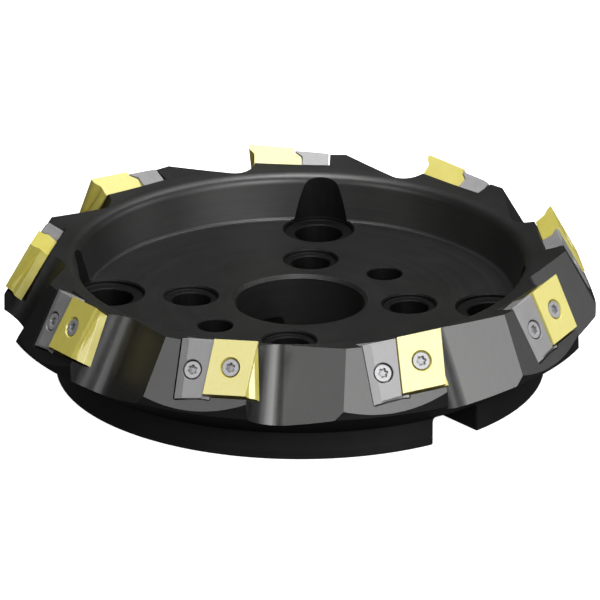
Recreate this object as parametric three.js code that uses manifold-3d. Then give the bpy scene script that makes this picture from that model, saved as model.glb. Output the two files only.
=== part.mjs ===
// Face mill, 250 mm cutting diameter, nine tangential inserts at a 60 degree lead, right-hand cut.
// Millimetres. Origin on the spindle axis in the back (mounting) face, +Z out of the cutting face,
// drive slots on +X and -X.
import * as THREE from 'three';
import { mergeVertices } from 'three/addons/utils/BufferGeometryUtils.js';
import Module from 'manifold-3d';

const wasm = await Module();
wasm.setup();

// ---- driving dimensions ----
const CUTTING_DIAMETER = 250;
const CUTTER_HEIGHT = 63;
const TEETH = 9;
const FIRST_TOOTH = 26.16; // angle of the first insert screw from +X, degrees
const GAP = 0.3; // clearance kept between neighbouring pieces

const HUB_RADIUS = 113.3;
const HUB_HEIGHT = 13.5;
const HUB_CHAMFER = 1;
const RIM_RADIUS = 137.3; // upright band between the underside cone and the teeth's lead cone
const RIM_BOTTOM_Z = 28.8;
const RIM_TOP_Z = 40;
const LAND_OUTER_RADIUS = 124.5;
const LAND_OUTER_Z = 58.8;
const LAND_INNER_RADIUS = 108.4;
const LAND_INNER_Z = 55.3;

const DISH_FLOOR_Z = 34.1;
const DISH_RADIUS = 100;
const DISH_WALL_FOOT_RADIUS = 100.3;
const DISH_CORNER_FILLET = 1.5;
const DISH_WALL_TOP_RADIUS = 103.3;
const DISH_WALL_TOP_Z = 50.5;
const DISH_EDGE = [104.1, 54.3]; // where wall and land would meet without the round edge

const BORE_RADIUS = 30;
const BORE_CHAMFER = 1.5;
const SLOT_WIDTH = 25.7;
const SLOT_DEPTH = 14;
const BOLT_ROWS = [
  { pitchRadius: 50.8, holeRadius: 9, seatRadius: 12.4, seatDepth: 2 },
  { pitchRadius: 88.9, holeRadius: 11, seatRadius: 16.1, seatDepth: 2.3 },
];
const SEAT_CHAMFER = 0.7;
const PLAIN_HOLE_RADIUS = 8;

// Insert face: its outward normal leans up and is turned back from the radius, and it is rolled a little.
const FACE_LEAN = 28.3;
const FACE_TURN = -8.63;
const FACE_ROLL = -1.95;

// Insert: parallelogram 21.3 x 26 mm and 9.8 mm thick, whose back half is skewed the other way. Its
// leading side is two stepped rake faces, one behind the outer edge and one before the inner edge,
// that cross in a diagonal valley.
const INSERT_THICKNESS = 9.8;
const INSERT_OUTER_LAYER = 2.2;
const INSERT_INNER_LAYER = 4.8;
const INSERT_END_SLOPE = 0.13; // rise of both ends per mm towards the leading side
const INSERT_HOLE_RADIUS = 2.9;
const INSERT_HEAD_SEAT_RADIUS = 4.9;
const INSERT_HEAD_SEAT_DEPTH = 3.6;
// One end of the insert: its height over the middle at the outer and inner faces, and how far the
// outer and inner layers reach to the leading and the trailing side there.
const INSERT_TOP = {
  outer: 13, inner: 11, outerLead: 10.7, innerLead: 7.6, outerTrail: -10.6, innerTrail: -14.3,
};
const INSERT_BOTTOM = {
  outer: -13, inner: -13.8, outerLead: 10.4, innerLead: 13.9, outerTrail: -10.5, innerTrail: -7.7,
};
// Depth under the outer face, and how far the rake face lies behind its edge there.
const OUTER_RAKE = [[0, 0], [-2.2, 0.2], [-4.8, 2.9], [-INSERT_THICKNESS, 3.1]];
const INNER_RAKE = [[0, 3.5], [-4, 3.2], [-6, 0.5], [-INSERT_THICKNESS, 0]];

// Locator: the grey block that backs the insert's trailing side.
const LOCATOR_TOP = 12.8; // of its top end, which drops as the insert's does to the trailing side
const LOCATOR_BOTTOM = -16;
const LOCATOR_BOTTOM_SLOPE = 0.2; // drop of its foot per mm towards the trailing side
const LOCATOR_CLEARANCE = 0.4; // gap between its trailing side and the body
const LOCATOR_FACE = -1;
const LOCATOR_BEVEL_DEPTH = 1;
const LOCATOR_BEVEL_WIDTH = 3.8;
const LOCATOR_TOP_BEVEL = 0.6;
const LOCATOR_TRAIL_TOP = -27.2;
const LOCATOR_TRAIL_BOTTOM = -24.4;
// Nose of the locator, which reaches under the insert's trailing corner: from, to, foot and face depth.
const NOSE = { trail: -12.5, lead: -7.3, foot: -16.4, face: -1.4 };
const LOCATOR_SCREW = [-18.5, -4.2]; // screw place on the insert face, leading and up
const LOCATOR_SCREW_SUNK = 0.4;

const TOOTH_FLAT = -1.4; // the body's flat lies this far under the insert's outer face
const TOOTH_FLAT_REACH = [-48, 30]; // where the flat runs out into the gullets, trailing and leading
const SEAT = -INSERT_THICKNESS - GAP;
const SEAT_REACH = [-16, 25]; // the insert's pocket, from under the locator's nose to past the gullet wall
// Gullet on the insert face: the wall and how it shifts per mm of rise, the radius of the round corner
// and how it changes per mm of rise, the floor under the insert's middle and its rise per mm forward.
const GULLET_WALL = 8.9;
const GULLET_WALL_SLANT = -0.14;
const GULLET_FILLET = 11.6;
const GULLET_FILLET_TAPER = -0.06;
const GULLET_FLOOR = -20.35;
const GULLET_FLOOR_RISE = 0.05;
const GULLET_REACH = 70;
const GULLET_ARC_SIDES = 7;

const SCREW = { headRadius: 4.3, headDepth: 3.2, shankRadius: 2.5, length: 19, sides: 16 };
const SCREW_HEAD_CLEARANCE = 0.4; // round and under a locator screw's head
const SOCKET = { lobes: 6, outer: 2.3, inner: 1.75, depth: 1.8 };
const THREAD_HOLE_RADIUS = SCREW.shankRadius + GAP;
const FAR = 60; // reach of a cutting solid past the material

const RADIANS = Math.PI / 180;
const LATHE_SIDES = 72;

// ---- materials ----
const bodySteel = new THREE.MeshStandardMaterial({ color: 0x3a3a39, roughness: 0.5, metalness: 0.6 });
const insertCoating = new THREE.MeshStandardMaterial({ color: 0xe6d36a, roughness: 0.35, metalness: 0.7 });
const locatorSteel = new THREE.MeshStandardMaterial({ color: 0x9c9a9c, roughness: 0.4, metalness: 0.8 });
const screwSteel = new THREE.MeshStandardMaterial({ color: 0xb4b2b4, roughness: 0.3, metalness: 0.9 });

// ---- solids ----
function solid(geometry) {
  const bare = geometry.index ? geometry.toNonIndexed() : geometry.clone();
  bare.deleteAttribute('normal');
  bare.deleteAttribute('uv');
  const merged = mergeVertices(bare, 1e-4);
  const corners = Array.from(merged.index.array);
  const kept = [];
  for (let i = 0; i < corners.length; i += 3) {
    const [a, b, c] = corners.slice(i, i + 3);
    if (a !== b && b !== c && c !== a) kept.push(a, b, c);
  }
  const mesh = new wasm.Mesh({
    numProp: 3,
    vertProperties: new Float32Array(merged.attributes.position.array),
    triVerts: new Uint32Array(kept),
  });
  return new wasm.Manifold(mesh);
}

function meshFrom(manifold, name, material) {
  const { vertProperties, triVerts } = manifold.getMesh();
  const geometry = new THREE.BufferGeometry();
  geometry.setAttribute('position', new THREE.BufferAttribute(new Float32Array(vertProperties), 3));
  geometry.setIndex(new THREE.BufferAttribute(new Uint32Array(triVerts), 1));
  geometry.computeVertexNormals();
  const mesh = new THREE.Mesh(geometry, material);
  mesh.name = name;
  return mesh;
}

function uprightCylinder(radius, bottom, top, sides, topRadius = radius) {
  const geometry = new THREE.CylinderGeometry(topRadius, radius, top - bottom, sides);
  geometry.rotateX(Math.PI / 2);
  geometry.translate(0, 0, (top + bottom) / 2);
  return geometry;
}

function prism(points, bottom, top) {
  const outline = new THREE.Shape(points.map(([x, y]) => new THREE.Vector2(x, y)));
  const geometry = new THREE.ExtrudeGeometry(outline, { depth: top - bottom, bevelEnabled: false });
  geometry.translate(0, 0, bottom);
  return geometry;
}

// A closed solid between two rings with the same number of corners, both clockwise seen from the top.
function loft(top, bottom) {
  const n = top.length;
  const corners = [...top, ...bottom].map(([x, y, z]) => new THREE.Vector3(x, y, z));
  const middles = [top, bottom].map((ring) => {
    const middle = new THREE.Vector3();
    ring.forEach(([x, y, z]) => middle.add(new THREE.Vector3(x, y, z)));
    return middle.divideScalar(n);
  });
  const faces = [];
  for (let i = 0; i < n; i += 1) {
    const j = (i + 1) % n;
    faces.push(corners[i], corners[j], corners[n + j]);
    faces.push(corners[i], corners[n + j], corners[n + i]);
    faces.push(corners[j], corners[i], middles[0]);
    faces.push(corners[n + i], corners[n + j], middles[1]);
  }
  return new THREE.BufferGeometry().setFromPoints(faces);
}

// ---- the frame of the insert's outer face, in a tooth's own frame (x radial, y leading, z up) ----
function insertFrame() {
  const lean = FACE_LEAN * RADIANS;
  const turn = FACE_TURN * RADIANS;
  const roll = FACE_ROLL * RADIANS;
  const outward = Math.cos(lean);
  const normal = new THREE.Vector3(outward * Math.cos(turn), outward * Math.sin(turn), Math.sin(lean));
  const level = new THREE.Vector3(-Math.sin(turn), Math.cos(turn), 0);
  const rising = new THREE.Vector3().crossVectors(normal, level);
  const lead = level.clone().multiplyScalar(Math.cos(roll)).addScaledVector(rising, Math.sin(roll));
  const up = rising.clone().multiplyScalar(Math.cos(roll)).addScaledVector(level, -Math.sin(roll));
  const cuttingCorner = new THREE.Vector3()
    .addScaledVector(lead, INSERT_TOP.outerLead)
    .addScaledVector(up, INSERT_TOP.outer + INSERT_END_SLOPE * INSERT_TOP.outerLead);
  const radial = Math.sqrt((CUTTING_DIAMETER / 2) ** 2 - cuttingCorner.y ** 2) - cuttingCorner.x;
  return new THREE.Matrix4()
    .makeBasis(lead, up, normal)
    .setPosition(radial, 0, CUTTER_HEIGHT - cuttingCorner.z);
}

const FACE = insertFrame();

function toothAngle(k) {
  return (FIRST_TOOTH + (k * 360) / TEETH) * RADIANS;
}

function onFace(geometry, k) {
  return geometry.applyMatrix4(FACE).rotateZ(toothAngle(k));
}

// ---- body ----
function bodyBlank() {
  const outline = new THREE.Path();
  outline.moveTo(BORE_RADIUS + BORE_CHAMFER, 0);
  outline.lineTo(HUB_RADIUS - HUB_CHAMFER, 0);
  outline.lineTo(HUB_RADIUS, HUB_CHAMFER);
  outline.lineTo(HUB_RADIUS, HUB_HEIGHT);
  outline.lineTo(RIM_RADIUS, RIM_BOTTOM_Z);
  outline.lineTo(RIM_RADIUS, RIM_TOP_Z);
  outline.lineTo(LAND_OUTER_RADIUS, LAND_OUTER_Z);
  outline.lineTo(LAND_INNER_RADIUS, LAND_INNER_Z);
  outline.quadraticCurveTo(...DISH_EDGE, DISH_WALL_TOP_RADIUS, DISH_WALL_TOP_Z);
  outline.lineTo(DISH_WALL_FOOT_RADIUS, DISH_FLOOR_Z + DISH_CORNER_FILLET);
  outline.quadraticCurveTo(DISH_RADIUS, DISH_FLOOR_Z, DISH_RADIUS - DISH_CORNER_FILLET, DISH_FLOOR_Z);
  outline.lineTo(BORE_RADIUS + BORE_CHAMFER, DISH_FLOOR_Z);
  outline.lineTo(BORE_RADIUS, DISH_FLOOR_Z - BORE_CHAMFER);
  outline.lineTo(BORE_RADIUS, BORE_CHAMFER);
  outline.closePath();
  const geometry = new THREE.LatheGeometry(outline.getPoints(3), LATHE_SIDES);
  return solid(geometry.rotateX(Math.PI / 2));
}

function driveSlot(side) {
  const length = HUB_RADIUS + 5;
  const slot = new THREE.BoxGeometry(length, SLOT_WIDTH, SLOT_DEPTH + 1);
  slot.translate((side * length) / 2, 0, (SLOT_DEPTH - 1) / 2);
  return solid(slot);
}

function boltHole({ pitchRadius, holeRadius, seatRadius, seatDepth }, quarter) {
  const hole = solid(uprightCylinder(holeRadius, -1, DISH_FLOOR_Z + 1, 24));
  const seat = solid(uprightCylinder(seatRadius, DISH_FLOOR_Z - seatDepth, CUTTER_HEIGHT, 36));
  const mouthRadius = seatRadius + SEAT_CHAMFER;
  const mouth = uprightCylinder(seatRadius, DISH_FLOOR_Z - SEAT_CHAMFER, DISH_FLOOR_Z, 36, mouthRadius);
  const angle = (45 + 90 * quarter) * RADIANS;
  const place = [pitchRadius * Math.cos(angle), pitchRadius * Math.sin(angle), 0];
  return hole.add(seat).add(solid(mouth)).translate(place);
}

function plainHole(side) {
  const hole = uprightCylinder(PLAIN_HOLE_RADIUS, -1, DISH_FLOOR_Z + 1, 24);
  return solid(hole.translate(0, side * BOLT_ROWS[0].pitchRadius, 0));
}

// Chip gullet in front of an insert: a wall that follows the insert, a round corner and a flat floor.
function gullet(k) {
  const tilt = Math.atan(GULLET_FLOOR_RISE);
  const floor = (u) => GULLET_FLOOR + GULLET_FLOOR_RISE * u;
  const ring = (up) => {
    const wall = GULLET_WALL + GULLET_WALL_SLANT * up;
    const radius = GULLET_FILLET + GULLET_FILLET_TAPER * up;
    const middle = wall + radius;
    const height = floor(middle) + radius / Math.cos(tilt);
    const corners = [[wall, up, FAR / 2]];
    for (let i = 0; i <= GULLET_ARC_SIDES; i += 1) {
      const angle = Math.PI + ((Math.PI / 2 + tilt) * i) / GULLET_ARC_SIDES;
      corners.push([middle + radius * Math.cos(angle), up, height + radius * Math.sin(angle)]);
    }
    corners.push([GULLET_REACH, up, floor(GULLET_REACH)], [GULLET_REACH, up, FAR / 2]);
    return corners;
  };
  return solid(onFace(loft(ring(FAR), ring(-FAR)), k));
}

// Everything outside the tooth's flat, between the gullets on either side.
function toothFlat(k) {
  const [trail, lead] = TOOTH_FLAT_REACH;
  const flat = prism([[trail, -FAR], [lead, -FAR], [lead, FAR], [trail, FAR]], TOOTH_FLAT, FAR);
  return solid(onFace(flat, k));
}

function insertPocket(k) {
  const ledge = (u) => INSERT_BOTTOM.inner + INSERT_END_SLOPE * u - 2 * GAP;
  const [trail, lead] = SEAT_REACH;
  const outline = [[trail, ledge(trail)], [lead, ledge(lead)], [lead, FAR], [trail, FAR]];
  return solid(onFace(prism(outline, SEAT, FAR), k));
}

function locatorPocket(k) {
  const nose = INSERT_BOTTOM.innerTrail + 1;
  const heel = locatorTrail(LOCATOR_BOTTOM);
  const outline = [
    [heel - LOCATOR_CLEARANCE, locatorFoot(heel) - 2 * GAP],
    [INSERT_BOTTOM.outerTrail, NOSE.foot - GAP],
    [nose, NOSE.foot - 2 * GAP],
    [nose, FAR / 2],
    [locatorTrail(FAR / 2) - LOCATOR_CLEARANCE, FAR / 2],
  ];
  return solid(onFace(prism(outline, SEAT, FAR), k));
}

function threadHole(u, v, k) {
  const hole = uprightCylinder(THREAD_HOLE_RADIUS, -SCREW.length - 2, FAR, 12);
  return solid(onFace(hole.translate(u, v, 0), k));
}

function cutterBody() {
  let body = bodyBlank();
  const cuts = [driveSlot(1), driveSlot(-1), plainHole(1), plainHole(-1)];
  for (const row of BOLT_ROWS) {
    for (let quarter = 0; quarter < 4; quarter += 1) cuts.push(boltHole(row, quarter));
  }
  for (let k = 0; k < TEETH; k += 1) {
    cuts.push(gullet(k), toothFlat(k), insertPocket(k), locatorPocket(k));
    cuts.push(threadHole(0, 0, k), threadHole(...LOCATOR_SCREW, k));
  }
  for (const cut of cuts) body = body.subtract(cut);
  return meshFrom(body, 'cutter_body', bodySteel);
}

// ---- insert ----
// The corners of one end in the frame of the outer face, from the leading edge at the outer face round
// by the trailing side; the leading side lies behind an edge as a rake face's steps say.
function insertEnd(end, edge, rake) {
  const corner = (u, n) => {
    const level = THREE.MathUtils.lerp(end.outer, end.inner, -n / INSERT_THICKNESS);
    return [u, level + INSERT_END_SLOPE * u, n];
  };
  const [outermost, ...deeper] = rake.map(([depth, behind]) => corner(edge - behind, depth));
  return [
    outermost,
    corner(end.outerTrail, 0),
    corner(end.outerTrail - 0.2, -INSERT_OUTER_LAYER),
    corner(end.innerTrail, -INSERT_INNER_LAYER),
    corner(end.innerTrail, -INSERT_THICKNESS),
    ...deeper.reverse(),
  ];
}

function insertHalf(edge, rake) {
  const ends = [INSERT_TOP, INSERT_BOTTOM].map((end) => insertEnd(end, end[edge], rake));
  return solid(loft(...ends));
}

function insertBlank() {
  return insertHalf('outerLead', OUTER_RAKE).add(insertHalf('innerLead', INNER_RAKE));
}

function insert(k) {
  const seatFloor = -INSERT_HEAD_SEAT_DEPTH;
  const seat = uprightCylinder(INSERT_HOLE_RADIUS, seatFloor, 0.01, 16, INSERT_HEAD_SEAT_RADIUS);
  const hole = uprightCylinder(INSERT_HOLE_RADIUS, -INSERT_THICKNESS - 1, 1, 16);
  const blank = insertBlank().subtract(solid(seat)).subtract(solid(hole));
  return placed(meshFrom(blank, `insert_${k + 1}`, insertCoating));
}

// ---- locator ----
function locatorTrail(up) {
  const share = (up - LOCATOR_BOTTOM) / (LOCATOR_TOP - LOCATOR_BOTTOM);
  return THREE.MathUtils.lerp(LOCATOR_TRAIL_BOTTOM, LOCATOR_TRAIL_TOP, share);
}

function locatorTop(u) {
  return LOCATOR_TOP + INSERT_END_SLOPE * u;
}

function locatorFoot(u) {
  return LOCATOR_BOTTOM + LOCATOR_BOTTOM_SLOPE * (u - INSERT_BOTTOM.outerTrail);
}

// How far the insert's trailing side reaches at a height, from its value at the foot and at the top.
function insertTrail(up, foot, top) {
  const footUp = INSERT_BOTTOM.inner + INSERT_END_SLOPE * INSERT_BOTTOM.innerTrail;
  const topUp = INSERT_TOP.inner + INSERT_END_SLOPE * INSERT_TOP.innerTrail;
  return THREE.MathUtils.lerp(foot, top, (up - footUp) / (topUp - footUp)) - 1.5 * GAP;
}

// One end of the locator, leading side first, at a height that gives its reach to either side.
function locatorEnd(up, level) {
  const outer = insertTrail(up, INSERT_BOTTOM.outerTrail, INSERT_TOP.outerTrail);
  const inner = insertTrail(up, INSERT_BOTTOM.innerTrail, INSERT_TOP.innerTrail);
  const trail = locatorTrail(up);
  const corner = (u, n) => [u, level(u), n];
  return [
    corner(outer, LOCATOR_FACE),
    corner(trail + LOCATOR_BEVEL_WIDTH, LOCATOR_FACE),
    corner(trail, LOCATOR_FACE - LOCATOR_BEVEL_DEPTH),
    corner(trail, -INSERT_THICKNESS),
    corner(inner, -INSERT_THICKNESS),
    corner(inner, GAP - INSERT_INNER_LAYER),
    corner(outer - 0.2, GAP - INSERT_OUTER_LAYER),
  ];
}

// What the 45 degree bevel between the locator's face and its top end takes off, all along it.
function locatorTopBevel() {
  const over = 1;
  const outline = [
    [-LOCATOR_FACE - over, -LOCATOR_TOP_BEVEL - over],
    [-LOCATOR_FACE - over, over],
    [-LOCATOR_FACE + LOCATOR_TOP_BEVEL + over, over],
  ];
  const bevel = prism(outline, -FAR, FAR).rotateY(Math.PI / 2);
  return solid(bevel.rotateZ(Math.atan(INSERT_END_SLOPE)).translate(0, LOCATOR_TOP, 0));
}

function locatorNose() {
  const under = (u) => INSERT_BOTTOM.inner + INSERT_END_SLOPE * u - GAP;
  const { trail, lead, foot, face } = NOSE;
  const outline = [[trail, foot], [lead, foot], [lead, under(lead)], [trail, under(trail)]];
  return solid(prism(outline, -INSERT_THICKNESS, face));
}

function locator(k) {
  const seatFloor = LOCATOR_FACE - LOCATOR_SCREW_SUNK - SCREW.headDepth - SCREW_HEAD_CLEARANCE;
  const seat = uprightCylinder(SCREW.headRadius + SCREW_HEAD_CLEARANCE, seatFloor, FAR, 20);
  const hole = uprightCylinder(INSERT_HOLE_RADIUS, -FAR, FAR, 12);
  const top = locatorTop(LOCATOR_TRAIL_TOP);
  const ends = [locatorEnd(top, locatorTop), locatorEnd(LOCATOR_BOTTOM, locatorFoot)];
  let block = solid(loft(...ends)).subtract(locatorTopBevel()).add(locatorNose());
  for (const cut of [seat, hole]) block = block.subtract(solid(cut.translate(...LOCATOR_SCREW, 0)));
  return placed(meshFrom(block, `locator_${k + 1}`, locatorSteel));
}

// ---- screws ----
function socketCut() {
  const lobed = [];
  for (let i = 0; i < 2 * SOCKET.lobes; i += 1) {
    const radius = i % 2 ? SOCKET.inner : SOCKET.outer;
    const angle = (i * Math.PI) / SOCKET.lobes;
    lobed.push([radius * Math.cos(angle), radius * Math.sin(angle)]);
  }
  return solid(prism(lobed, -SOCKET.depth, 1));
}

// The head's top lies at z = 0; a flat-sided seat under it for the locator, a cone for the insert.
function screwSolid(coneHead) {
  const under = coneHead ? SCREW.shankRadius : SCREW.headRadius;
  const head = uprightCylinder(under, -SCREW.headDepth, 0, SCREW.sides, SCREW.headRadius);
  const shank = uprightCylinder(SCREW.shankRadius, -SCREW.length, -SCREW.headDepth / 2, SCREW.sides);
  return solid(head).add(solid(shank)).subtract(socketCut());
}

function screw(name, coneHead, u, v, n) {
  const mesh = meshFrom(screwSolid(coneHead), name, screwSteel);
  mesh.position.set(u, v, n);
  return placed(mesh);
}

function placed(mesh) {
  const seat = new THREE.Group();
  seat.applyMatrix4(FACE);
  seat.add(mesh);
  return seat;
}

function tooth(k) {
  const group = new THREE.Group();
  group.rotation.z = toothAngle(k);
  group.add(insert(k), locator(k));
  group.add(screw(`insert_screw_${k + 1}`, true, 0, 0, -GAP));
  group.add(screw(`locator_screw_${k + 1}`, false, ...LOCATOR_SCREW, LOCATOR_FACE - LOCATOR_SCREW_SUNK));
  return group;
}

// ---- the whole cutter ----
const faceMill = new THREE.Group();
faceMill.add(cutterBody());
for (let k = 0; k < TEETH; k += 1) faceMill.add(tooth(k));

export default faceMill;
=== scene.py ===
"""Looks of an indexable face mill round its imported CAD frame. The row frame is in metres, +Z out of the
cutting face; shapes are worked out in millimetres and scaled as their meshes are made."""

import math

import bmesh
import bpy
from mathutils import Matrix, Vector

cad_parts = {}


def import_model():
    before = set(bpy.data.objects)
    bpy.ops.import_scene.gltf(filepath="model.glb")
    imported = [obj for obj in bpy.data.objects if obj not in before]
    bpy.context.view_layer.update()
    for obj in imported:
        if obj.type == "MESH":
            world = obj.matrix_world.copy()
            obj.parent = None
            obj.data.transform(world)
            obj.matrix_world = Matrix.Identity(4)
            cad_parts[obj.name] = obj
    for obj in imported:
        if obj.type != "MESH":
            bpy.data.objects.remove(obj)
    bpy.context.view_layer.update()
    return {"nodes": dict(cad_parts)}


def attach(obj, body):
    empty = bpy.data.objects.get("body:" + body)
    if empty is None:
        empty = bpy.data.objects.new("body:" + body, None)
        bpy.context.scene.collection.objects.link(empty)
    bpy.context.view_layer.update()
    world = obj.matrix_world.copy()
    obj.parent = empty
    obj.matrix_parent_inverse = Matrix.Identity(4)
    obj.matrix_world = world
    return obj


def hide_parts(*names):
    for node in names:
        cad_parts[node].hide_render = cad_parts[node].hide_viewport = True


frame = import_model()

MM = 0.001

# ---- dimensions, millimetres, the same as the CAD model's ----
CUTTING_RADIUS = 125
CUTTER_HEIGHT = 63
TEETH = 9
FIRST_TOOTH = 26.16
GAP = 0.3

HUB_RADIUS = 113.3
HUB_HEIGHT = 13.5
RIM_RADIUS = 137.3
RIM_BOTTOM_Z = 28.8
RIM_TOP_Z = 40
LAND_OUTER = (124.5, 58.8)
LAND_INNER = (108.4, 55.3)
DISH_FLOOR_Z = 34.1
DISH_RADIUS = 100
DISH_CORNER_FILLET = 1.5
DISH_WALL_FOOT_RADIUS = 100.3
DISH_WALL_TOP = (103.3, 50.5)
DISH_EDGE = (104.1, 54.3)
BORE_RADIUS = 30
BORE_CHAMFER = 1.5
SLOT_WIDTH = 25.7
SLOT_DEPTH = 14
SLOT_CORNER = 3
SLOT_CHAMFER = 0.8
SLOT_MOUTH = (1.6, 3)  # how far the flared mouth reaches inside and past the hub's rim
SLOT_MOUTH_FLARE = 1.22
BOLT_ROWS = [
    {"pitch": 50.8, "hole": 9, "seat": 12.4, "depth": 2},
    {"pitch": 88.9, "hole": 11, "seat": 16.1, "depth": 2.3},
]
SEAT_CHAMFER = 0.7
SEAT_FLOOR_CHAMFER = 0.4
PLAIN_HOLE_RADIUS = 8
HOLE_CHAMFER = 0.5

FACE_LEAN = 28.3
FACE_TURN = -8.63
FACE_ROLL = -1.95

INSERT_THICKNESS = 9.8
INSERT_OUTER_LAYER = 2.2
INSERT_INNER_LAYER = 4.8
INSERT_END_SLOPE = 0.13
INSERT_HOLE_RADIUS = 2.9
INSERT_HEAD_SEAT_RADIUS = 4.9
INSERT_HEAD_SEAT_DEPTH = 3.6
INSERT_TOP = {
    "outer": 13, "inner": 11,
    "outer_lead": 10.7, "inner_lead": 7.6, "outer_trail": -10.6, "inner_trail": -14.3,
}
INSERT_BOTTOM = {
    "outer": -13, "inner": -13.8,
    "outer_lead": 10.4, "inner_lead": 13.9, "outer_trail": -10.5, "inner_trail": -7.7,
}

# depth under the outer face, and how far the rake face lies behind its edge there
OUTER_RAKE = (
    (0, 0), (-1.2, 0.1), (-2.1, 0.4), (-3.0, 1.1), (-4.0, 2.3), (-4.7, 2.85), (-5.6, 3.0),
    (-INSERT_THICKNESS, 3.1),
)
INNER_RAKE = ((0, 3.5), (-3.8, 3.25), (-4.3, 2.9), (-5.7, 0.8), (-6.2, 0.45), (-INSERT_THICKNESS, 0))

LOCATOR_TOP = 12.8
LOCATOR_BOTTOM = -16
LOCATOR_BOTTOM_SLOPE = 0.2
LOCATOR_CLEARANCE = 0.4
LOCATOR_FACE = -1
LOCATOR_BEVEL_DEPTH = 1
LOCATOR_BEVEL_WIDTH = 3.8
LOCATOR_TOP_BEVEL = 0.6
LOCATOR_FOOT_BEVEL = 0.9
LOCATOR_TRAIL_TOP = -27.2
LOCATOR_TRAIL_BOTTOM = -24.4
NOSE = {"trail": -12.5, "lead": -7.3, "foot": -16.4, "face": -1.4}
LOCATOR_SCREW = (-18.5, -4.2)
LOCATOR_SCREW_SUNK = 0.4

TOOTH_FLAT = -1.4
TOOTH_FLAT_REACH = (-48, 30)
SEAT = -INSERT_THICKNESS - GAP
SEAT_REACH = (-16, 25)
POCKET_HEEL_FILLET = 1.2
POCKET_NOSE_FILLET = 1
GULLET_WALL = 8.9
GULLET_WALL_SLANT = -0.14
GULLET_FILLET = 11.6
GULLET_FILLET_TAPER = -0.06
GULLET_FLOOR = -20.35
GULLET_FLOOR_RISE = 0.05
GULLET_REACH = 70

SCREW_HEAD_RADIUS = 4.3
SCREW_HEAD_DEPTH = 3.2
SCREW_SHANK_RADIUS = 2.5
SCREW_LENGTH = 19
SCREW_HEAD_CLEARANCE = 0.4
SCREW_TURN = 12  # degrees that the first tooth's sockets are turned, and the step to the next tooth's
SCREW_TURN_STEP = 37
THREAD_PITCH = 0.8
THREAD_DEPTH = 0.3
THREAD_TIP = 1.2  # the last stretch of the thread, which tapers
TAPPED_MOUTH_CHAMFER = 0.8
TAPPED_DRILL_POINT = (2, 3.6)  # past the screw's end, where the drill's cone starts and ends
DRILL_TIP_RADIUS = 0.3
SOCKET_LOBES = 6
SOCKET_OUTER = 2.3
SOCKET_INNER = 1.72
SOCKET_DEPTH = 1.8
INSERT_EDGE = 0.3  # bevel widths
LOCATOR_EDGE = 0.25
OVERCUT = 1  # how far a cutting solid runs past a face
SLIGHT_OVERCUT = 0.3
FAR = 60
WELD_DISTANCE = 1e-4
FLAT_ANGLE = math.radians(0.05)  # faces that meet at less than this are joined in one
NORMAL_WEIGHT = 100

# ---- how finely round shapes are made: sides of a full turn, and steps of a curve ----
LATHE_SIDES = 360
SEAT_SIDES = 120
HOLE_SIDES = 72
SMALL_HOLE_SIDES = 64
SOCKET_SIDES = 60
SCREW_SIDES = 48
TAPPED_SIDES = 32
CORNER_STEPS = 4
BORE_EDGE_STEPS = 2
DISH_EDGE_STEPS = 12
DISH_CORNER_STEPS = 8
GULLET_STEPS = 24
RAKE_STEPS = 8
TRAIL_STEPS = 10
THREAD_RINGS_PER_TURN = 6

# ---- camera and light directions: azimuth from +X about the spindle axis, and elevation, degrees ----
CAMERA_AZIMUTH = -39.44
CAMERA_ELEVATION = 21.9
CAMERA_DISTANCE = 12.0
FRAME_WIDTH = 0.2783  # the picture's width at the cutter, metres
LOOK_AT = (0.00003, 0.0003)  # right and up of the dish's centre, in the picture plane
SENSOR = 36.0
CAMERA_CLIP = (1, 60)
FLOOR_HALF = 9
FLOOR_GAP = 0.0004  # the floor lies this far under the cutter's back face
FLOOR_GLOW = 0.94
ROOM_HEIGHTS = (-0.25, 0.6)  # heights of a direction between which the room's light changes
ROOM_LIGHT = (0.04, 0.03)
LIGHT_DISTANCE = 1.4
LIGHT_SIZE = 0.5
LIGHTS = (  # name, azimuth, elevation, watts
    ("key", -20, 30, 11.0),
    ("over", 140, 85, 14.0),
    ("left", -85, 28, 3.9),
    ("right_low", 5, 15, 3.2),
    ("right", 5, 35, 1.4),
    ("far_right_low", 52, 15, 3.3),
    ("far_right", 88, 55, 3.8),
)


# ---- mesh helpers ----
def make_mesh(name, corners, faces):
    mesh = bpy.data.meshes.new(name)
    mesh.from_pydata([tuple(p) for p in corners], [], [tuple(f) for f in faces])
    bm = bmesh.new()
    bm.from_mesh(mesh)
    bmesh.ops.recalc_face_normals(bm, faces=bm.faces)
    for face in bm.faces:
        face.smooth = True
    bm.to_mesh(mesh)
    bm.free()
    return mesh


def add_object(name, data):
    made = bpy.data.objects.new(name, data)
    bpy.context.scene.collection.objects.link(made)
    return made


def remove_with_mesh(obj):
    mesh = obj.data
    bpy.data.objects.remove(obj)
    bpy.data.meshes.remove(mesh)


def lerp(a, b, share):
    return a + (b - a) * share


def bezier(start, control, end, steps):
    points = []
    for i in range(steps + 1):
        t = i / steps
        point = [(1 - t) ** 2 * a + 2 * t * (1 - t) * c + t * t * b for a, c, b in zip(start, control, end)]
        points.append(tuple(point))
    return points


def rounded(outline, steps=CORNER_STEPS):
    """A closed outline of (x, y, radius) corners as points, with each corner rounded to its radius."""
    points = []
    for i, (x, y, radius) in enumerate(outline):
        if not radius:
            points.append((x, y))
            continue
        here = Vector((x, y))
        before = (Vector(outline[i - 1][:2]) - here).normalized()
        after = (Vector(outline[(i + 1) % len(outline)][:2]) - here).normalized()
        reach = radius / math.tan(before.angle(after) / 2)
        points += bezier(here + before * reach, here, here + after * reach, steps)
    return points


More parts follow.
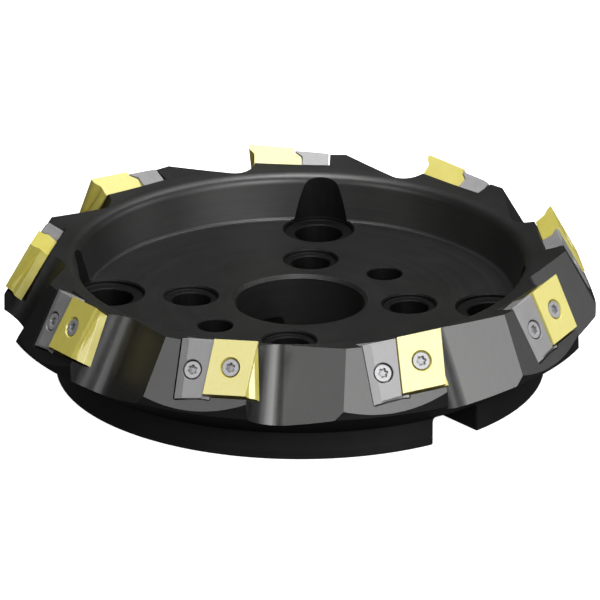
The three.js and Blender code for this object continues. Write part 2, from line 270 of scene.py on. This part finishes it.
def lathe(outline, sides):
    """A ring turned round +Z from a closed outline of (radius, z)."""
    count = len(outline)
    corners = []
    for i in range(sides):
        angle = math.tau * i / sides
        corners += [(r * math.cos(angle), r * math.sin(angle), z) for r, z in outline]
    faces = []
    for i in range(sides):
        a, b = i * count, (i + 1) % sides * count
        for j in range(count):
            k = (j + 1) % count
            faces.append((a + j, b + j, b + k, a + k))
    return corners, faces


def loft(rings):
    """A closed solid through rings that have the same number of corners."""
    count = len(rings[0])
    corners = [p for ring in rings for p in ring]
    faces = [tuple(range(count)), tuple(range(len(corners) - 1, len(corners) - count - 1, -1))]
    for i in range(len(rings) - 1):
        for j in range(count):
            k = (j + 1) % count
            faces.append((i * count + j, i * count + k, (i + 1) * count + k, (i + 1) * count + j))
    return corners, faces


def prism(outline, bottom, top):
    return loft([[(x, y, bottom) for x, y in outline], [(x, y, top) for x, y in outline]])


def circle(radius, z, sides, centre=(0, 0)):
    ring = []
    for i in range(sides):
        angle = math.tau * i / sides
        ring.append((centre[0] + radius * math.cos(angle), centre[1] + radius * math.sin(angle), z))
    return ring


def turned(profile, sides, centre=(0, 0)):
    """A solid of revolution from its (radius, z) profile, bottom to top, closed flat at both ends."""
    return loft([circle(radius, z, sides, centre) for radius, z in profile])


# ---- places on a tooth ----
def insert_frame():
    """From the insert's outer face (leading, up, outward) to the tooth's own frame, where +X is radial."""
    lean, turn, roll = (math.radians(v) for v in (FACE_LEAN, FACE_TURN, FACE_ROLL))
    outward = math.cos(lean)
    normal = Vector((outward * math.cos(turn), outward * math.sin(turn), math.sin(lean)))
    level = Vector((-math.sin(turn), math.cos(turn), 0))
    rising = normal.cross(level)
    lead = level * math.cos(roll) + rising * math.sin(roll)
    up = rising * math.cos(roll) - level * math.sin(roll)
    corner = lead * INSERT_TOP["outer_lead"]
    corner += up * (INSERT_TOP["outer"] + INSERT_END_SLOPE * INSERT_TOP["outer_lead"])
    radial = math.sqrt(CUTTING_RADIUS**2 - corner.y**2) - corner.x
    axes = Matrix((lead, up, normal)).transposed().to_4x4()
    return Matrix.Translation((radial, 0, CUTTER_HEIGHT - corner.z)) @ axes


FACE = insert_frame()


def on_tooth(k):
    return Matrix.Rotation(math.radians(FIRST_TOOTH + 360 * k / TEETH), 4, "Z") @ FACE


# ---- cutting with other solids ----
def scratch_object(name, corners, faces, matrix=None, material=None):
    mesh = make_mesh(name, corners, faces)
    if matrix is not None:
        mesh.transform(matrix)
    if material is not None:
        mesh.materials.append(material)
    return add_object(name, mesh)


def applied(obj, name):
    """The object's mesh with its modifiers applied, as a new mesh."""
    bpy.context.view_layer.update()
    depsgraph = bpy.context.evaluated_depsgraph_get()
    mesh = bpy.data.meshes.new_from_object(obj.evaluated_get(depsgraph), depsgraph=depsgraph)
    mesh.name = name
    return mesh


def cut(blank, cutters, name):
    """blank less every cutter, as a mesh. All the objects are used up."""
    for cutter in cutters:
        modifier = blank.modifiers.new("cut", "BOOLEAN")
        modifier.operation = "DIFFERENCE"
        modifier.solver = "MANIFOLD"
        modifier.material_mode = "TRANSFER"
        modifier.object = cutter
    mesh = applied(blank, name)
    for obj in [blank, *cutters]:
        remove_with_mesh(obj)
    return mesh


def joined(first, second):
    """first with second added, both used up, as an object."""
    modifier = first.modifiers.new("join", "BOOLEAN")
    modifier.operation = "UNION"
    modifier.solver = "MANIFOLD"
    modifier.object = second
    made = add_object("joined", applied(first, "joined"))
    for obj in (first, second):
        remove_with_mesh(obj)
    return made


def finished(mesh, edge=0.0, sharp=30.0, least=25.0):
    """The mesh cleaned, its edges over `least` degrees bevelled by `edge`, and scaled to metres. Edges over
    `sharp` degrees stay sharp in its shading."""
    bm = bmesh.new()
    bm.from_mesh(mesh)
    bmesh.ops.remove_doubles(bm, verts=bm.verts, dist=WELD_DISTANCE)
    bmesh.ops.dissolve_limit(
        bm, angle_limit=FLAT_ANGLE, verts=bm.verts, edges=bm.edges, delimit={"MATERIAL"}
    )
    for face in bm.faces:
        face.smooth = True
    bm.to_mesh(mesh)
    bm.free()
    obj = add_object("finishing", mesh)
    if edge:
        bevel = obj.modifiers.new("bevel", "BEVEL")
        bevel.width = edge
        bevel.segments = 2
        bevel.limit_method = "ANGLE"
        bevel.angle_limit = math.radians(least)
        bevel.use_clamp_overlap = True
        bevel.miter_outer = "MITER_ARC"
    done = applied(obj, mesh.name + "_done")
    bpy.data.objects.remove(obj)
    done.set_sharp_from_angle(angle=math.radians(sharp))
    obj = add_object("finishing", done)
    weighted = obj.modifiers.new("weighted", "WEIGHTED_NORMAL")
    weighted.keep_sharp = True
    weighted.weight = NORMAL_WEIGHT
    result = applied(obj, mesh.name + "_shaded")
    bpy.data.objects.remove(obj)
    result.transform(Matrix.Scale(MM, 4))
    return result


# ---- materials ----
LATHE_MARK_DRIFT = 0.0006  # how little the lathe marks change along their ring


def material(name):
    """A new node material with its Principled shader, and short cuts that add a node and link two."""
    made = bpy.data.materials.new(name)
    made.use_nodes = True
    tree = made.node_tree

    def node(kind, **values):
        new = tree.nodes.new(kind)
        for key, value in values.items():
            if key in new.inputs:
                new.inputs[key].default_value = value
            else:
                setattr(new, key, value)
        return new

    return made, tree.nodes["Principled BSDF"], node, tree.links.new


def calculation(node, link, operation, first, second):
    """A Math node. second is another node's output or a number."""
    new = node("ShaderNodeMath", operation=operation)
    link(first, new.inputs[0])
    if isinstance(second, (int, float)):
        new.inputs[1].default_value = second
    else:
        link(second, new.inputs[1])
    return new.outputs[0]


def ring_coordinates(node, link, place):
    """Object coordinates as (distance from the axis, height, a little of the angle), for lathe marks."""
    split = node("ShaderNodeSeparateXYZ")
    link(place.outputs["Object"], split.inputs[0])
    flat = node("ShaderNodeCombineXYZ")
    link(split.outputs["X"], flat.inputs["X"])
    link(split.outputs["Y"], flat.inputs["Y"])
    length = node("ShaderNodeVectorMath", operation="LENGTH")
    link(flat.outputs[0], length.inputs[0])
    angle = calculation(node, link, "ARCTAN2", split.outputs["Y"], split.outputs["X"])
    ring_place = node("ShaderNodeCombineXYZ")
    link(length.outputs["Value"], ring_place.inputs["X"])
    link(split.outputs["Z"], ring_place.inputs["Y"])
    link(calculation(node, link, "MULTIPLY", angle, LATHE_MARK_DRIFT), ring_place.inputs["Z"])
    return ring_place.outputs[0]


def stretched_coordinates(node, link, place, stretch):
    mapping = node("ShaderNodeMapping", Scale=stretch)
    link(place.outputs["Object"], mapping.inputs["Vector"])
    return mapping.outputs[0]


def grained(shader, node, link, grain, mottle, spread, colours, roughness, relief):
    """Colour and roughness that follow the mean of two noises, between spread, and the grain's relief."""
    total = calculation(node, link, "ADD", grain.outputs["Fac"], mottle.outputs["Fac"])
    mean = calculation(node, link, "MULTIPLY", total, 0.5)
    tint = node("ShaderNodeValToRGB")
    for element, place, colour in zip(tint.color_ramp.elements, spread, colours):
        element.position = place
        element.color = (*colour, 1)
    link(mean, tint.inputs["Fac"])
    link(tint.outputs["Color"], shader.inputs["Base Color"])
    rough = node("ShaderNodeMapRange")
    for end, noise, value in zip(("Min", "Max"), spread, roughness):
        rough.inputs["From " + end].default_value = noise
        rough.inputs["To " + end].default_value = value
    link(mean, rough.inputs["Value"])
    link(rough.outputs["Result"], shader.inputs["Roughness"])
    strength, height = relief
    bump = node("ShaderNodeBump", Strength=strength, Distance=height)
    link(grain.outputs["Fac"], bump.inputs["Height"])
    link(bump.outputs["Normal"], shader.inputs["Normal"])


def blackened_steel(name, colours, roughness, marks, ringed=True):
    """Black-oxidised steel: a fine cutter-mark grain that follows the turning, over a faint mottle."""
    made, shader, node, link = material(name)
    place = node("ShaderNodeTexCoord")
    grain = node("ShaderNodeTexNoise", Scale=marks, Detail=2.0, Roughness=0.6)
    if ringed:
        link(ring_coordinates(node, link, place), grain.inputs["Vector"])
    else:
        link(stretched_coordinates(node, link, place, (1, 1, 0.12)), grain.inputs["Vector"])
    mottle = node("ShaderNodeTexNoise", Scale=42.0, Detail=4.0, Roughness=0.55)
    link(place.outputs["Object"], mottle.inputs["Vector"])
    grained(shader, node, link, grain, mottle, (0.3, 0.7), colours, roughness, (0.05, 0.0001))
    shader.inputs["Metallic"].default_value = 0.9
    return made


def fine_metal(name, colours, roughness, scale, stretch, metallic, specular=0.5, ior=1.5):
    """A ground or coated piece: fine grinding streaks along one way of the piece, over a soft mottle."""
    made, shader, node, link = material(name)
    place = node("ShaderNodeTexCoord")
    streaks = node("ShaderNodeTexNoise", Scale=scale, Detail=3.0, Roughness=0.6)
    link(stretched_coordinates(node, link, place, stretch), streaks.inputs["Vector"])
    mottle = node("ShaderNodeTexNoise", Scale=160.0, Detail=3.0, Roughness=0.5)
    link(place.outputs["Object"], mottle.inputs["Vector"])
    grained(shader, node, link, streaks, mottle, (0.35, 0.65), colours, roughness, (0.04, 0.00005))
    shader.inputs["Metallic"].default_value = metallic
    shader.inputs["IOR"].default_value = ior
    shader.inputs["Specular IOR Level"].default_value = specular
    return made


TURNED = blackened_steel(
    "blackened_turned", [(0.055, 0.055, 0.0545), (0.07, 0.07, 0.0695)], (0.4, 0.46), 900.0
)
MILLED = blackened_steel(
    "blackened_milled", [(0.058, 0.058, 0.0575), (0.073, 0.073, 0.0725)], (0.38, 0.44), 500.0, ringed=False
)
# painted shade: the walls of the bolt holes, seats, plain holes and tapped holes are coloured near black,
# far darker than the rest of the body, to stand in for the shade inside them
BORES_PAINTED_SHADE = blackened_steel(
    "bores_painted_shade", [(0.013, 0.013, 0.0135), (0.02, 0.02, 0.0205)], (0.5, 0.6), 700.0, ringed=False
)
GOLD = fine_metal(
    "insert_coating", [(0.62, 0.545, 0.09), (0.68, 0.6, 0.115)], (0.4, 0.48), 700.0,
    (1, 0.1, 1), metallic=0.0, specular=1.0, ior=1.8,
)
GROUND = fine_metal(
    "locator_steel", [(0.25, 0.246, 0.25), (0.295, 0.29, 0.295)], (0.45, 0.55), 900.0,
    (1, 0.08, 1), metallic=0.3,
)
BRIGHT = fine_metal(
    "screw_steel", [(0.3, 0.297, 0.305), (0.36, 0.356, 0.365)], (0.36, 0.44), 900.0,
    (1, 1, 1), metallic=0.3,
)


# ---- body ----
def body_blank():
    fillet = DISH_CORNER_FILLET
    outside = [
        (BORE_RADIUS + BORE_CHAMFER, 0, 0),
        (HUB_RADIUS, 0, 1.0),
        (HUB_RADIUS, HUB_HEIGHT, 0.8),
        (RIM_RADIUS, RIM_BOTTOM_Z, 0.5),
        (RIM_RADIUS, RIM_TOP_Z, 0.5),
        (*LAND_OUTER, 0.4),
    ]
    inside = [
        (DISH_RADIUS - fillet - 1, DISH_FLOOR_Z, 0),
        (BORE_RADIUS + BORE_CHAMFER, DISH_FLOOR_Z, 0.25),
        (BORE_RADIUS, DISH_FLOOR_Z - BORE_CHAMFER, 0.25),
        (BORE_RADIUS, BORE_CHAMFER, 0),
    ]
    points = [
        *rounded(outside),
        *bezier(LAND_INNER, DISH_EDGE, DISH_WALL_TOP, DISH_EDGE_STEPS),
        *bezier(
            (DISH_WALL_FOOT_RADIUS, DISH_FLOOR_Z + fillet),
            (DISH_RADIUS, DISH_FLOOR_Z),
            (DISH_RADIUS - fillet, DISH_FLOOR_Z),
            DISH_CORNER_STEPS,
        ),
        *rounded(inside, BORE_EDGE_STEPS),
    ]
    return scratch_object("blank", *lathe(points, LATHE_SIDES), material=TURNED)


def drive_slot(side):
    """The slot's section with round roof corners and a small chamfer where its walls meet the back face."""
    half = SLOT_WIDTH / 2
    wide = half + SLOT_CHAMFER
    section = rounded(
        [
            (-wide, -OVERCUT, 0), (wide, -OVERCUT, 0), (wide, 0, 0), (half, SLOT_CHAMFER, 0),
            (half, SLOT_DEPTH, SLOT_CORNER), (-half, SLOT_DEPTH, SLOT_CORNER),
            (-half, SLOT_CHAMFER, 0), (-wide, 0, 0),
        ]
    )
    inside, past = SLOT_MOUTH
    slot_ends = ((0, 1), (HUB_RADIUS + 5, 1))
    mouth_ends = ((HUB_RADIUS - inside, 1), (HUB_RADIUS + past, SLOT_MOUTH_FLARE))
    made = []
    for name, ends in (("slot", slot_ends), ("slot_mouth", mouth_ends)):
        rings = [[(side * x, y * grow, z) for y, z in section] for x, grow in ends]
        made.append(scratch_object(name, *loft(rings), material=MILLED))
    return made


def chamfered_bore(radius, top):
    """The (radius, z) profile of a hole from the back face to top, with a chamfer at both mouths."""
    wide = radius + HOLE_CHAMFER + OVERCUT
    return [(wide, -OVERCUT), (radius, HOLE_CHAMFER), (radius, top - HOLE_CHAMFER), (wide, top + OVERCUT)]


def bolt_hole(row, quarter):
    angle = math.radians(45 + 90 * quarter)
    centre = (row["pitch"] * math.cos(angle), row["pitch"] * math.sin(angle))
    floor = DISH_FLOOR_Z - row["depth"]
    seat = row["seat"]
    tower = [
        (seat - SEAT_FLOOR_CHAMFER, floor), (seat, floor + SEAT_FLOOR_CHAMFER), (seat, CUTTER_HEIGHT + 5),
    ]
    mouth = [
        (seat - OVERCUT, DISH_FLOOR_Z - SEAT_CHAMFER - OVERCUT),
        (seat + SEAT_CHAMFER + SLIGHT_OVERCUT, DISH_FLOOR_Z + SLIGHT_OVERCUT),
    ]
    through = chamfered_bore(row["hole"], floor)
    # the hole and seat walls take the near-black painted-shade material
    return [
        scratch_object("hole", *turned(through, HOLE_SIDES, centre), material=BORES_PAINTED_SHADE),
        scratch_object("seat", *turned(tower, SEAT_SIDES, centre), material=BORES_PAINTED_SHADE),
        scratch_object("seat_mouth", *turned(mouth, SEAT_SIDES, centre), material=BORES_PAINTED_SHADE),
    ]


def plain_hole(side):
    centre = (0, side * BOLT_ROWS[0]["pitch"])
    profile = chamfered_bore(PLAIN_HOLE_RADIUS, DISH_FLOOR_Z)
    return scratch_object("plain", *turned(profile, HOLE_SIDES, centre), material=BORES_PAINTED_SHADE)


def gullet(k):
    tilt = math.atan(GULLET_FLOOR_RISE)
    rings = []
    for up in (FAR, -FAR):
        wall = GULLET_WALL + GULLET_WALL_SLANT * up
        radius = GULLET_FILLET + GULLET_FILLET_TAPER * up
        middle = wall + radius
        height = GULLET_FLOOR + GULLET_FLOOR_RISE * middle + radius / math.cos(tilt)
        ring = [(wall, up, FAR / 2)]
        for i in range(GULLET_STEPS + 1):
            angle = math.pi + (math.pi / 2 + tilt) * i / GULLET_STEPS
            ring.append((middle + radius * math.cos(angle), up, height + radius * math.sin(angle)))
        ring.append((GULLET_REACH, up, GULLET_FLOOR + GULLET_FLOOR_RISE * GULLET_REACH))
        ring.append((GULLET_REACH, up, FAR / 2))
        rings.append(ring)
    return scratch_object("gullet", *loft(rings), on_tooth(k), MILLED)


def tooth_flat(k):
    trail, lead = TOOTH_FLAT_REACH
    outline = [(trail, -FAR), (lead, -FAR), (lead, FAR), (trail, FAR)]
    return scratch_object("flat", *prism(outline, TOOTH_FLAT, FAR), on_tooth(k), MILLED)


def pocket_cutter(name, outline, k):
    return scratch_object(name, *prism(outline, SEAT, FAR), on_tooth(k), MILLED)


def insert_pocket(k):
    def ledge(u):
        return INSERT_BOTTOM["inner"] + INSERT_END_SLOPE * u - 2 * GAP

    trail, lead = SEAT_REACH
    outline = [(trail, ledge(trail)), (lead, ledge(lead)), (lead, FAR), (trail, FAR)]
    return pocket_cutter("insert_pocket", outline, k)


def locator_trail(up):
    share = (up - LOCATOR_BOTTOM) / (LOCATOR_TOP - LOCATOR_BOTTOM)
    return lerp(LOCATOR_TRAIL_BOTTOM, LOCATOR_TRAIL_TOP, share)


def locator_foot(u):
    return LOCATOR_BOTTOM + LOCATOR_BOTTOM_SLOPE * (u - INSERT_BOTTOM["outer_trail"])


def locator_pocket(k):
    nose = INSERT_BOTTOM["inner_trail"] + 1
    heel = locator_trail(LOCATOR_BOTTOM)
    outline = rounded(
        [
            (heel - LOCATOR_CLEARANCE, locator_foot(heel) - 3 * GAP, POCKET_HEEL_FILLET),
            (INSERT_BOTTOM["outer_trail"], NOSE["foot"] - 1.5 * GAP, 0),
            (nose, NOSE["foot"] - 2 * GAP, POCKET_NOSE_FILLET),
            (nose, FAR / 2, 0),
            (locator_trail(FAR / 2) - LOCATOR_CLEARANCE, FAR / 2, 0),
        ]
    )
    return pocket_cutter("locator_pocket", outline, k)


def tapped_hole(u, v, k):
    radius = SCREW_SHANK_RADIUS + GAP
    wide = radius + TAPPED_MOUTH_CHAMFER
    half = TAPPED_MOUTH_CHAMFER / 2
    full, point = TAPPED_DRILL_POINT
    profile = [
        (DRILL_TIP_RADIUS, -SCREW_LENGTH - point), (radius, -SCREW_LENGTH - full),
        (radius, SEAT - half), (wide, SEAT + half), (wide, 4),
    ]
    return scratch_object("tapped", *turned(profile, TAPPED_SIDES, (u, v)), on_tooth(k), BORES_PAINTED_SHADE)


def cutter_body():
    cutters = [*drive_slot(1), *drive_slot(-1), plain_hole(1), plain_hole(-1)]
    for row in BOLT_ROWS:
        for quarter in range(4):
            cutters += bolt_hole(row, quarter)
    for k in range(TEETH):
        cutters += [gullet(k), tooth_flat(k), insert_pocket(k), locator_pocket(k)]
        cutters += [tapped_hole(0, 0, k), tapped_hole(*LOCATOR_SCREW, k)]
    return finished(cut(body_blank(), cutters, "cutter_body"), sharp=24.0)


# ---- insert ----
def trailing_side(end):
    """The (reach, depth) points down the trailing side of an insert's end, through its S-shaped step."""
    outer, inner = end["outer_trail"], end["inner_trail"]
    points = [(outer, 0), (outer - 0.1, -INSERT_OUTER_LAYER / 2)]
    for i in range(TRAIL_STEPS + 1):
        t = i / TRAIL_STEPS
        mixed = lerp(t, t * t * (3 - 2 * t), 0.55)
        depth = lerp(INSERT_OUTER_LAYER - 0.3, INSERT_INNER_LAYER + 0.2, t)
        points.append((lerp(outer - 0.2, inner, mixed), -depth))
    points.append((inner, -INSERT_THICKNESS))
    return points


def insert_half(edge, rake):
    """One of the two stepped rake faces, with the rest of the insert behind it."""
    top, bottom = INSERT_TOP, INSERT_BOTTOM
    leads = [[(end[edge] - behind, depth) for depth, behind in reversed(rake)] for end in (bottom, top)]
    low_side, high_side = (lead + trailing_side(end) for lead, end in zip(leads, (bottom, top)))
    rings = []
    for i in range(RAKE_STEPS + 1):
        share = i / RAKE_STEPS
        ring = []
        for (u0, n0), (u1, n1) in zip(low_side, high_side):
            u, n = lerp(u0, u1, share), lerp(n0, n1, share)
            low = lerp(bottom["outer"], bottom["inner"], -n / INSERT_THICKNESS)
            high = lerp(top["outer"], top["inner"], -n / INSERT_THICKNESS)
            ring.append((u, lerp(low, high, share) + INSERT_END_SLOPE * u, n))
        rings.append(ring)
    return scratch_object("insert_half", *loft(rings), material=GOLD)


def insert_mesh():
    blank = joined(insert_half("outer_lead", OUTER_RAKE), insert_half("inner_lead", INNER_RAKE))
    hole = INSERT_HOLE_RADIUS
    seat = INSERT_HEAD_SEAT_RADIUS - 0.2
    profile = [
        (hole + 0.5, -INSERT_THICKNESS - 0.01), (hole, -INSERT_THICKNESS + 0.5),
        (hole, -INSERT_HEAD_SEAT_DEPTH), (seat - 0.15, -0.9), (seat, -0.3), (seat + 0.3, 0.05),
    ]
    cutter = scratch_object("insert_hole", *turned(profile, SMALL_HOLE_SIDES), material=GOLD)
    return finished(cut(blank, [cutter], "insert"), edge=INSERT_EDGE, sharp=38, least=36)


# ---- locator ----
def insert_trail(up, foot, top):
    foot_up = INSERT_BOTTOM["inner"] + INSERT_END_SLOPE * INSERT_BOTTOM["inner_trail"]
    top_up = INSERT_TOP["inner"] + INSERT_END_SLOPE * INSERT_TOP["inner_trail"]
    return lerp(foot, top, (up - foot_up) / (top_up - foot_up)) - 1.5 * GAP


def locator_ring(up, level):
    outer = insert_trail(up, INSERT_BOTTOM["outer_trail"], INSERT_TOP["outer_trail"])
    inner = insert_trail(up, INSERT_BOTTOM["inner_trail"], INSERT_TOP["inner_trail"])
    trail = locator_trail(up)
    points = [
        (outer, LOCATOR_FACE),
        (trail + LOCATOR_BEVEL_WIDTH, LOCATOR_FACE),
        (trail, LOCATOR_FACE - LOCATOR_BEVEL_DEPTH),
        (trail, -INSERT_THICKNESS),
        (inner, -INSERT_THICKNESS),
        (inner, GAP - INSERT_INNER_LAYER),
        (outer - 0.2, GAP - INSERT_OUTER_LAYER),
    ]
    return [(u, level(u), n) for u, n in points]


def locator_top(u):
    return LOCATOR_TOP + INSERT_END_SLOPE * u


def corner_bevel(width, trail, lead):
    """The wedge that a 45 degree bevel takes off, for an end at height 0 that faces up."""
    outline = [
        (-LOCATOR_FACE - OVERCUT, -width - OVERCUT),
        (-LOCATOR_FACE - OVERCUT, OVERCUT),
        (-LOCATOR_FACE + width + OVERCUT, OVERCUT),
    ]
    corners, faces = prism(outline, trail, lead)
    return [(z, y, -x) for x, y, z in corners], faces


def locator_mesh():
    top = locator_top(LOCATOR_TRAIL_TOP)
    rings = [locator_ring(top, locator_top), locator_ring(LOCATOR_BOTTOM, locator_foot)]
    blank = scratch_object("locator", *loft(rings), material=GROUND)
    trail, lead, foot = NOSE["trail"], NOSE["lead"], NOSE["foot"]
    under = [(u, INSERT_BOTTOM["inner"] + INSERT_END_SLOPE * u - GAP) for u in (lead, trail)]
    outline = [(trail, foot), (lead, foot), *under]
    nose = scratch_object("nose", *prism(outline, -INSERT_THICKNESS, NOSE["face"]), material=GROUND)
    blank = joined(blank, nose)
    tilt = Matrix.Rotation(math.atan(INSERT_END_SLOPE), 4, "Z")
    top_bevel = scratch_object(
        "top_bevel", *corner_bevel(LOCATOR_TOP_BEVEL, -FAR, FAR),
        Matrix.Translation((0, LOCATOR_TOP, 0)) @ tilt, GROUND,
    )
    foot_tilt = Matrix.Rotation(math.atan(LOCATOR_BOTTOM_SLOPE), 4, "Z") @ Matrix.Scale(-1, 4, (0, 1, 0))
    strip_end = LOCATOR_TRAIL_BOTTOM + LOCATOR_BEVEL_WIDTH
    foot_bevel = scratch_object(
        "foot_bevel", *corner_bevel(LOCATOR_FOOT_BEVEL, 0.2, FAR),
        Matrix.Translation((strip_end, locator_foot(strip_end), 0)) @ foot_tilt, GROUND,
    )
    floor = LOCATOR_FACE - LOCATOR_SCREW_SUNK - SCREW_HEAD_DEPTH - SCREW_HEAD_CLEARANCE
    seat = SCREW_HEAD_RADIUS + SCREW_HEAD_CLEARANCE
    profile = [
        (INSERT_HOLE_RADIUS, -FAR), (INSERT_HOLE_RADIUS, floor), (seat, floor + 0.01),
        (seat, LOCATOR_FACE - 0.25), (seat + 0.3, LOCATOR_FACE + 0.05), (seat + 0.3, 5),
    ]
    hole = scratch_object(
        "locator_hole", *turned(profile, SMALL_HOLE_SIDES, LOCATOR_SCREW), material=GROUND
    )
    blank_cut = cut(blank, [top_bevel, foot_bevel, hole], "locator")
    return finished(blank_cut, edge=LOCATOR_EDGE, sharp=40, least=12)


# ---- screws ----
def socket(depth, top):
    """A six-lobed recess with round lobes and hollows."""
    outline = []
    for i in range(SOCKET_SIDES):
        angle = math.tau * i / SOCKET_SIDES
        wave = 0.5 + 0.5 * math.cos(SOCKET_LOBES * angle)
        radius = lerp(SOCKET_INNER, SOCKET_OUTER, wave**0.8)
        outline.append((radius * math.cos(angle), radius * math.sin(angle)))
    rings = [
        [(x * grow, y * grow, z) for x, y in outline]
        for grow, z in ((0.35, -depth - 0.4), (0.93, -depth), (1, -0.25), (1.12, 0.02), (1.12, top))
    ]
    return loft(rings)


def threaded_shank(start, end):
    """Rings of points down the shank, whose radius follows a screw thread."""
    rings = []
    count = int((start - end) / THREAD_PITCH * THREAD_RINGS_PER_TURN)
    for i in range(count + 1):
        z = lerp(start, end, i / count)
        tip = min(1.0, (z - end) / THREAD_TIP)
        ring = []
        for j in range(SCREW_SIDES):
            angle = math.tau * j / SCREW_SIDES
            phase = (z / THREAD_PITCH - j / SCREW_SIDES) % 1.0
            groove = THREAD_DEPTH * abs(2 * phase - 1)
            radius = (SCREW_SHANK_RADIUS - groove) * lerp(0.8, 1, tip)
            ring.append((radius * math.cos(angle), radius * math.sin(angle), z))
        rings.append(ring)
    return rings


def screw_mesh(name, cone_head):
    head = SCREW_HEAD_RADIUS - 0.2
    profile = [(head - 0.4, 0), (head - 0.12, -0.12), (head, -0.4)]
    if cone_head:
        profile += [(head, -0.8), (SCREW_SHANK_RADIUS, -SCREW_HEAD_DEPTH)]
    else:
        profile += [(head, -SCREW_HEAD_DEPTH + 0.25), (head - 0.25, -SCREW_HEAD_DEPTH)]
    rings = [circle(radius, z, SCREW_SIDES) for radius, z in profile]
    rings += threaded_shank(-SCREW_HEAD_DEPTH - 0.3, -SCREW_LENGTH)
    blank = scratch_object(name, *loft(rings), material=BRIGHT)
    cutter = scratch_object("socket", *socket(SOCKET_DEPTH, 2), material=BRIGHT)
    return finished(cut(blank, [cutter], name), sharp=35)


# ---- the pieces, each on its CAD body ----
def piece(name, mesh, matrix, body):
    made = add_object(name, mesh)
    placed = matrix.copy()
    placed.translation = matrix.translation * MM
    made.matrix_world = placed
    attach(made, body)
    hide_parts(body if body in frame["nodes"] else "cutter_body")
    return made


def build():
    piece("body", cutter_body(), Matrix.Identity(4), "cutter")
    insert = insert_mesh()
    locator = locator_mesh()
    insert_screw = screw_mesh("insert_screw", True)
    locator_screw = screw_mesh("locator_screw", False)
    for k in range(TEETH):
        n = k + 1
        seat = on_tooth(k)
        turn = Matrix.Rotation(math.radians(SCREW_TURN + SCREW_TURN_STEP * k), 4, "Z")
        piece(f"coated_insert_{n}", insert, seat, f"insert_{n}")
        piece(f"ground_locator_{n}", locator, seat, f"locator_{n}")
        screws = (
            ("insert_screw", insert_screw, (0, 0, -GAP)),
            ("locator_screw", locator_screw, (*LOCATOR_SCREW, LOCATOR_FACE - LOCATOR_SCREW_SUNK)),
        )
        for name, mesh, place in screws:
            matrix = seat @ Matrix.Translation(place) @ turn
            piece(f"threaded_{name}_{n}", mesh, matrix, f"{name}_{n}")


build()


# ---- stage ----
def direction(azimuth, elevation):
    a, e = math.radians(azimuth), math.radians(elevation)
    return Vector((math.cos(a) * math.cos(e), math.sin(a) * math.cos(e), math.sin(e)))


def camera():
    data = bpy.data.cameras.new("camera")
    data.sensor_width = SENSOR
    data.lens = SENSOR * CAMERA_DISTANCE / FRAME_WIDTH
    data.clip_start, data.clip_end = CAMERA_CLIP
    cam = add_object("camera", data)
    back = direction(CAMERA_AZIMUTH, CAMERA_ELEVATION)
    aim = (-back).to_track_quat("-Z", "Y")
    target = Vector((0, 0, DISH_FLOOR_Z * MM)) - aim @ Vector((*LOOK_AT, 0))
    cam.location = target + back * CAMERA_DISTANCE
    cam.rotation_mode = "QUATERNION"
    cam.rotation_quaternion = aim
    bpy.context.scene.camera = cam


def area_light(name, azimuth, elevation, power):
    data = bpy.data.lights.new(name, "AREA")
    data.shape = "DISK"
    data.size = LIGHT_SIZE
    data.energy = power
    lamp = add_object(name, data)
    towards = direction(azimuth, elevation)
    lamp.location = towards * LIGHT_DISTANCE + Vector((0, 0, DISH_FLOOR_Z * MM))
    lamp.rotation_mode = "QUATERNION"
    lamp.rotation_quaternion = (-towards).to_track_quat("-Z", "Y")


def white_floor():
    reach = FLOOR_HALF
    corners = [(-reach, -reach, 0), (reach, -reach, 0), (reach, reach, 0), (-reach, reach, 0)]
    mesh = make_mesh("floor", corners, [(0, 1, 2, 3)])
    floor = add_object("floor", mesh)
    floor.location.z = -FLOOR_GAP
    made, shader, _, _ = material("floor_paper")
    shader.inputs["Base Color"].default_value = (0.9, 0.9, 0.9, 1)
    shader.inputs["Roughness"].default_value = 0.9
    shader.inputs["Specular IOR Level"].default_value = 0.1
    shader.inputs["Emission Color"].default_value = (1, 1, 1, 1)
    shader.inputs["Emission Strength"].default_value = FLOOR_GLOW
    mesh.materials.append(made)
    floor.visible_glossy = False
    floor.visible_diffuse = False


def world():
    """White where the camera sees it, and a dim soft room for the object."""
    made = bpy.data.worlds.new("studio")
    bpy.context.scene.world = made
    made.use_nodes = True
    tree = made.node_tree
    tree.nodes.clear()
    output = tree.nodes.new("ShaderNodeOutputWorld")
    seen = tree.nodes.new("ShaderNodeBackground")
    seen.inputs["Color"].default_value = (1, 1, 1, 1)
    room = tree.nodes.new("ShaderNodeBackground")
    place = tree.nodes.new("ShaderNodeTexCoord")
    split = tree.nodes.new("ShaderNodeSeparateXYZ")
    tree.links.new(place.outputs["Generated"], split.inputs[0])
    level = tree.nodes.new("ShaderNodeMapRange")
    for end, height, light in zip(("Min", "Max"), ROOM_HEIGHTS, ROOM_LIGHT):
        level.inputs["From " + end].default_value = height
        level.inputs["To " + end].default_value = light
    tree.links.new(split.outputs["Z"], level.inputs["Value"])
    tree.links.new(level.outputs["Result"], room.inputs["Strength"])
    path = tree.nodes.new("ShaderNodeLightPath")
    mix = tree.nodes.new("ShaderNodeMixShader")
    tree.links.new(path.outputs["Is Camera Ray"], mix.inputs["Fac"])
    tree.links.new(room.outputs[0], mix.inputs[1])
    tree.links.new(seen.outputs[0], mix.inputs[2])
    tree.links.new(mix.outputs[0], output.inputs["Surface"])


camera()
for name, azimuth, elevation, power in LIGHTS:
    area_light(name, azimuth, elevation, power)
white_floor()
world()
bpy.context.scene.view_settings.view_transform = "Standard"
bpy.context.scene.view_settings.look = "None"
